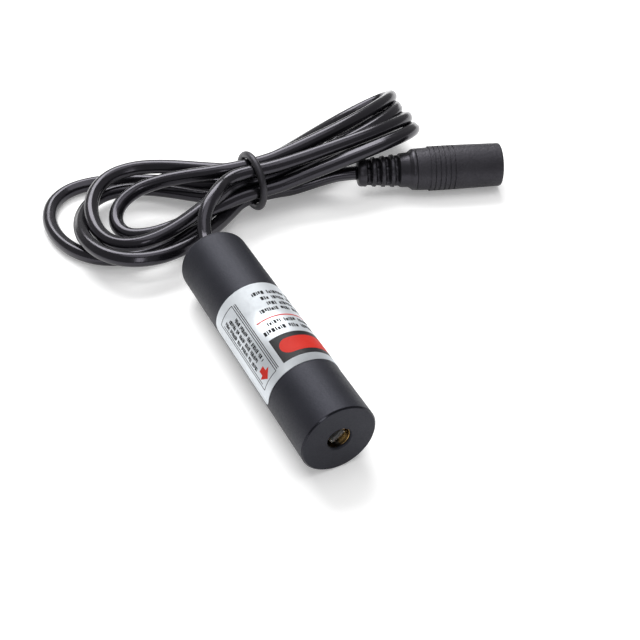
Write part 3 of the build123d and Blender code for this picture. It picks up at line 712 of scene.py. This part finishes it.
def make_lens_nose():
    """The brass cell's stepped nose, which lines the aperture."""
    origin = Vector((NOSE_REAR_X, 0, AXIS_Z))
    axis, first = Vector((1, 0, 0)), Vector((0, 0, 1))
    bm = turned(origin, axis, first, NOSE_PROFILE, NOSE_AROUND, True)
    piece = add_piece(bm, "lens_nose", "brass")
    # the nose's brass carries painted shade on its low left side
    dress(piece, nose_brass_painted_shade())


def make_rod_lens():
    """The clear rod lens across the aperture."""
    axis = Vector((0, cos(ROD_TURN), sin(ROD_TURN)))
    half, narrow = ROD_HALF, ROD_R - ROD_BEVEL
    profile = [
        (-half, narrow), (-half + ROD_BEVEL, ROD_R), (-half + 2 * ROD_BEVEL, ROD_R),
        (half - 2 * ROD_BEVEL, ROD_R), (half - ROD_BEVEL, ROD_R), (half, narrow),
    ]
    origin = Vector((ROD_X, 0, AXIS_Z))
    bm = turned(origin, axis, Vector((1, 0, 0)), profile, ROD_AROUND, False)
    piece = add_piece(bm, "rod_lens", "glass")
    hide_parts("line_lens")


def relief_radius(along):
    """Radius of the relief's cone at this distance from its tail."""
    return RELIEF_TAIL_R + RELIEF_FLARE * along / RELIEF_NECK


def slot_floor(along):
    """A slot's radius round the relief: deep on two sides, with webs between them."""

    def radius(angle):
        share = min(abs(cos(angle)) * SLOT_SPREAD, 1) ** 2
        return relief_radius(along) - SLOT_LEAST - SLOT_DEPTH * share

    return radius


def make_relief():
    """The strain relief: a cone with slots, which flares to the socket's body."""
    facing = (TOWARDS_CAMERA - PLUG_DIR * TOWARDS_CAMERA.dot(PLUG_DIR)).normalized()
    profile = RELIEF_TAIL + [(RELIEF_TAIL_END, relief_radius(RELIEF_TAIL_END))]
    for index in range(SLOT_COUNT):
        start = SLOT_FIRST + index * SLOT_PITCH - SLOT_W / 2
        end = start + SLOT_W
        profile += [
            (start - SLOT_BEVEL, relief_radius(start)),
            (start, relief_radius(start) - SLOT_SINK),
            (start + SLOT_WALL, slot_floor(start)),
            (end - SLOT_WALL, slot_floor(end)),
            (end, relief_radius(end) - SLOT_SINK),
            (end + SLOT_BEVEL, relief_radius(end)),
        ]
    profile += RELIEF_SHOULDER
    bm = turned(PLUG_TAIL, PLUG_DIR, facing, profile, RELIEF_AROUND, False)
    piece = add_piece(bm, "ribbed_relief", "relief")
    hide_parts("plug_relief")
    return piece


# The tied cord
def pass_point(name, along):
    """A point on one pass through the band, this far along it from the middle."""
    a, b = PASS[name]
    a -= LEFT_RISE * max(-along, 0)
    return TIE + np.array([(a + b) * DIAGONAL, along, (b - a) * DIAGONAL])


def runs_along(line):
    """How far along a line each of its points lies."""
    return np.concatenate([[0], np.cumsum(np.linalg.norm(np.diff(line, axis=0), axis=1))])


def turn_points(start, end, tip, side, bow, fullness):
    """Control points of one turn, evenly spaced, out to its tip and back."""
    steps = np.linspace(0, 1, TURN_STEPS)
    angle = 2 * pi * steps
    reach = (1 - np.cos(angle)) / 2
    sway = np.sin(angle) * np.maximum(reach, 1e-9) ** fullness
    sway = sway / np.abs(sway).max()
    middle = (start + end) / 2
    line = (
        start
        + np.outer(steps, end - start)
        + np.outer(reach, np.array(tip) - middle)
        + np.outer(sway, side)
        + np.outer(4 * reach * (1 - reach), bow)
    )
    run = runs_along(line)
    count = round(run[-1] / POINT_GAP)
    marks = np.linspace(0, run[-1], count + 1)[1:-1]
    return [np.array([np.interp(mark, run, line[:, k]) for k in range(3)]) for mark in marks]


def cord_route():
    """All control points of the cord, from the rear cap to the socket."""
    points = [np.array(p, float) for p in MODULE_LEAD + UP_TO_BAND]
    for leave, enter, hand, tip, half_width, bow, fullness, lean in TURNS:
        start = pass_point(leave, HALF_PASS * hand)
        end = pass_point(enter, HALF_PASS * hand)
        wide = np.array(LOOPS_SIDE if hand < 0 else FOLDS_SIDE)
        side = wide * half_width + VIEW_LINE * lean
        points.append(pass_point(leave, -HALF_PASS * hand))
        points.append(start)
        points += turn_points(start, end, tip, side, bow, fullness)
    last = TURNS[-1][1]
    points.append(pass_point(last, -HALF_PASS))
    points.append(pass_point(last, HALF_PASS))
    points += [np.array(p, float) for p in PLUG_LEAD]
    return np.array(points)


def spline_weights(count, per):
    """Rows that give a clamped quadratic spline's points from its control points."""
    knots = np.concatenate([[0.0] * 3, np.arange(1.0, count - 2), [count - 2.0] * 3])
    rows = []
    for u in np.linspace(0, count - 2, (count - 2) * per + 1):
        k = min(int(u), count - 3) + 2
        value = {k: 1.0}
        for degree in (1, 2):
            following = {}
            for i in range(k - degree, k + 1):
                total = 0.0
                low, high = knots[i], knots[i + degree]
                if i in value and high > low:
                    total += (u - low) / (high - low) * value[i]
                low, high = knots[i + 1], knots[i + degree + 1]
                if i + 1 in value and high > low:
                    total += (high - u) / (high - low) * value[i + 1]
                following[i] = total
            value = following
        row = np.zeros(count)
        for i, number in value.items():
            row[i] = number
        rows.append(row)
    return np.array(rows)


def pushed_apart(line):
    """Moves that lay turns which lie in each other on each other."""
    run = runs_along(line)
    apart = line[:, None, :] - line[None, :, :]
    distance = np.sqrt((apart**2).sum(2))
    other = np.abs(run[:, None] - run[None, :]) > OWN_REACH * CORD_D
    hit = other & (distance < CORD_D + REST_GAP)
    deep = apart @ VIEW_LINE
    beside = np.sqrt(np.maximum(distance**2 - deep**2, 0))
    over = np.where(hit, CORD_D + REST_GAP - distance, 0)
    clear = np.sqrt(np.maximum((CORD_D + REST_GAP) ** 2 - beside**2, 0))
    lift = np.where(hit, clear - np.abs(deep), 0)
    lift = lift * np.where(deep >= 0, 1, -1)
    tied = np.abs(line[:, 1] - TIE[1]) < TIED_REACH
    both = (tied[:, None] & tied[None, :])[:, :, None]
    straight = apart / np.maximum(distance, 1e-6)[:, :, None] * over[:, :, None]
    laid = OVER_SHARE * lift[:, :, None] * VIEW_LINE + STRAIGHT_SHARE * straight
    push = np.where(both, straight, laid)
    return push.sum(1) / np.maximum((over > 0).sum(1), 1)[:, None] * EACH_SHARE


def raised_to_floor(line):
    """Moves, towards the camera, that bring sunk points up to the floor."""
    sunk = np.minimum(line[:, 2] - CORD_D / 2, 0)
    return -(sunk[:, None] / VIEW_LINE[2] * VIEW_LINE)


def drawn_into_band(line):
    """Moves that bring the strands at the band's middle inside it."""
    a = ((line[:, 0] - TIE[0]) - (line[:, 2] - TIE[2])) * DIAGONAL
    b = ((line[:, 0] - TIE[0]) + (line[:, 2] - TIE[2])) * DIAGONAL
    ratio = np.hypot(a / (WAIST[0] - CORD_D / 2), b / (WAIST[1] - CORD_D / 2))
    out = (np.abs(line[:, 1] - TIE[1]) < PULL_REACH) & (ratio > 1)
    pull = np.where(out, 1 / np.maximum(ratio, 1) - 1, 0)
    return np.stack([(a + b) * pull * DIAGONAL, 0 * a, (b - a) * pull * DIAGONAL], axis=1)


def settle(points):
    """Push turns that lie in each other apart, until they lie on each other."""
    weights = spline_weights(len(points), LINE_POINTS)
    total = weights.sum(0)[:, None]
    held = np.zeros(len(points), bool)
    held[: len(MODULE_LEAD) + len(UP_TO_BAND)] = True
    held[-HELD_AT_END:] = True
    free = ~held[:, None]
    shift = np.zeros_like(points)
    for _ in range(SETTLE_ROUNDS):
        here = points + shift
        fair = np.zeros_like(here)
        around = -here[:-4] + 4 * here[1:-3] - 6 * here[2:-2] + 4 * here[3:-1] - here[4:]
        fair[2:-2] = around / 16
        shift = shift + free * fair * FAIR_SHARE
        line = weights @ (points + shift)
        move = pushed_apart(line) + raised_to_floor(line) + drawn_into_band(line)
        shift = shift + free * (weights.T @ move) / total * MOVE_GAIN
        smooth = shift.copy()
        smooth[1:-1] = 0.25 * shift[:-2] + 0.5 * shift[1:-1] + 0.25 * shift[2:]
        shift = free * (OLD_SHARE * shift + SMOOTH_SHARE * smooth)
    return points + shift


def spline_line(points, name):
    """The smooth line of a route: a spline with the points as its control points."""
    curve = bpy.data.curves.new(name, "CURVE")
    curve.dimensions = "3D"
    spline = curve.splines.new("NURBS")
    spline.points.add(len(points) - 1)
    for place, point in zip(spline.points, points):
        place.co = (*(Vector(point) * MM), 1)
    spline.order_u = 3
    spline.use_endpoint_u = True
    spline.resolution_u = 10
    holder = bpy.data.objects.new(name, curve)
    line = bpy.data.meshes.new_from_object(holder)
    places = [v.co.copy() for v in line.vertices]
    bpy.data.objects.remove(holder)
    bpy.data.meshes.remove(line)
    return places


def cord_section(angle):
    """The two-core jacket's outline: round, with a shallow crease on each side."""
    off = min(abs(angle - pi / 2), abs(angle - 3 * pi / 2))
    return CORD_D / 2 - CREASE * np.exp(-((off / CREASE_SPREAD) ** 2))


def tube(path, name):
    """A tube of the cord's section along a line, with its length kept in the UVs."""
    bm = bmesh.new()
    layer = bm.loops.layers.uv.new("along")
    ahead = (path[1] - path[0]).normalized()
    up = Vector((0, 0, 1))
    up = (up - ahead * up.dot(ahead)).normalized()
    rings, runs, run = [], [], 0.0
    for i, point in enumerate(path):
        before = path[max(i - 1, 0)]
        after = path[min(i + 1, len(path) - 1)]
        now = (after - before).normalized()
        up = (ahead.rotation_difference(now) @ up).normalized()
        up = (up - now * up.dot(now)).normalized()
        ahead = now
        run += (point - before).length
        turn = run / (LAY_TURN_MM * MM) * 2 * pi + FIRST_TURN
        across = now.cross(up)
        ring = []
        for k in range(ROUND):
            angle = 2 * pi * k / ROUND
            out = up * cos(angle + turn) + across * sin(angle + turn)
            ring.append(bm.verts.new(point + out * (cord_section(angle) * MM)))
        rings.append(ring)
        runs.append(run)
    for i in range(len(rings) - 1):
        here, there = runs[i], runs[i + 1]
        for k in range(ROUND):
            m = (k + 1) % ROUND
            face = bm.faces.new((rings[i][k], rings[i][m], rings[i + 1][m], rings[i + 1][k]))
            face.smooth = True
            corners = ((here, k), (here, k + 1), (there, k + 1), (there, k))
            for loop, (u, v) in zip(face.loops, corners):
                loop[layer].uv = (u / MM, v / ROUND)
    bm.faces.new(rings[0])
    bm.faces.new(rings[-1])
    bmesh.ops.recalc_face_normals(bm, faces=bm.faces)
    return new_object(bm, name)


def make_cord(relief):
    """The cord from the rear cap through the tied hank to the socket."""
    path = spline_line(settle(cord_route()), "cord_line")
    cord = tube(path, "cord")
    dress(cord, finish["cord"])
    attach(cord, "root")
    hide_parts("module_lead", "cord_hank", "plug_lead")


# Floor, light and camera
def seen_share(tree):
    """One where the camera, a reflection or a view through glass looks, else zero."""
    rays = tree.nodes.new("ShaderNodeLightPath")
    total = rays.outputs["Is Camera Ray"]
    for name in ("Is Glossy Ray", "Is Transmission Ray"):
        node = tree.nodes.new("ShaderNodeMath")
        node.operation = "MAXIMUM"
        tree.links.new(total, node.inputs[0])
        tree.links.new(rays.outputs[name], node.inputs[1])
        total = node.outputs[0]
    return total


def make_floor():
    """A plain pale floor that looks white and keeps the object's shadow."""
    bm = bmesh.new()
    bmesh.ops.create_grid(bm, x_segments=8, y_segments=8, size=FLOOR_REACH)
    floor = new_object(bm, "floor")
    material, tree, shader = new_material("floor_pale")
    shader.inputs["Roughness"].default_value = 1.0
    shader.inputs["Specular IOR Level"].default_value = 0.0
    seen = seen_share(tree)
    colour = mix_colours(tree, seen, FLOOR_GREY, FLOOR_SEEN_GREY)
    tree.links.new(colour, shader.inputs["Base Color"])
    shader.inputs["Emission Color"].default_value = (1, 1, 1, 1)
    glow = map_range(tree, seen, 0, 1, 0, FLOOR_GLOW)
    tree.links.new(glow, shader.inputs["Emission Strength"])
    floor.data.materials.append(material)


def make_world():
    world = bpy.data.worlds.new("studio")
    bpy.context.scene.world = world
    world.use_nodes = True
    backdrop = world.node_tree.nodes["Background"]
    backdrop.inputs["Color"].default_value = (1, 1, 1, 1)
    backdrop.inputs["Strength"].default_value = WORLD_STRENGTH


def soft_light(name, place, aim, size, power):
    data = bpy.data.lights.new(name, "AREA")
    data.shape = "RECTANGLE"
    data.size, data.size_y = size
    data.energy = power
    lamp = bpy.data.objects.new(name, data)
    lamp.location = place
    lamp.rotation_euler = (Vector(aim) - Vector(place)).to_track_quat("-Z", "Y").to_euler()
    bpy.context.scene.collection.objects.link(lamp)


def make_camera():
    data = bpy.data.cameras.new("camera")
    data.sensor_width = CAMERA_SENSOR
    data.lens = CAMERA_LENS
    data.clip_start = CAMERA_NEAR
    camera = bpy.data.objects.new("camera", data)
    bpy.context.scene.collection.objects.link(camera)
    right = CAMERA_RIGHT.normalized()
    above = TOWARDS_CAMERA.cross(right).normalized()
    facing = Matrix((right, above, TOWARDS_CAMERA)).transposed().to_4x4()
    camera.matrix_world = Matrix.Translation(CAMERA_PLACE) @ facing
    return camera


for part in frame["record"]["subparts"]:
    dress(frame["nodes"][part["node"]], finish[part["material_slot"]])

make_foil_band()
make_print()
make_panel_bar()
make_lens_nose()
make_rod_lens()
make_cord(make_relief())

make_floor()
make_world()
for lamp_row in LAMPS:
    soft_light(*lamp_row)
bpy.context.scene.camera = make_camera()
bpy.context.scene.view_settings.view_transform = "Standard"
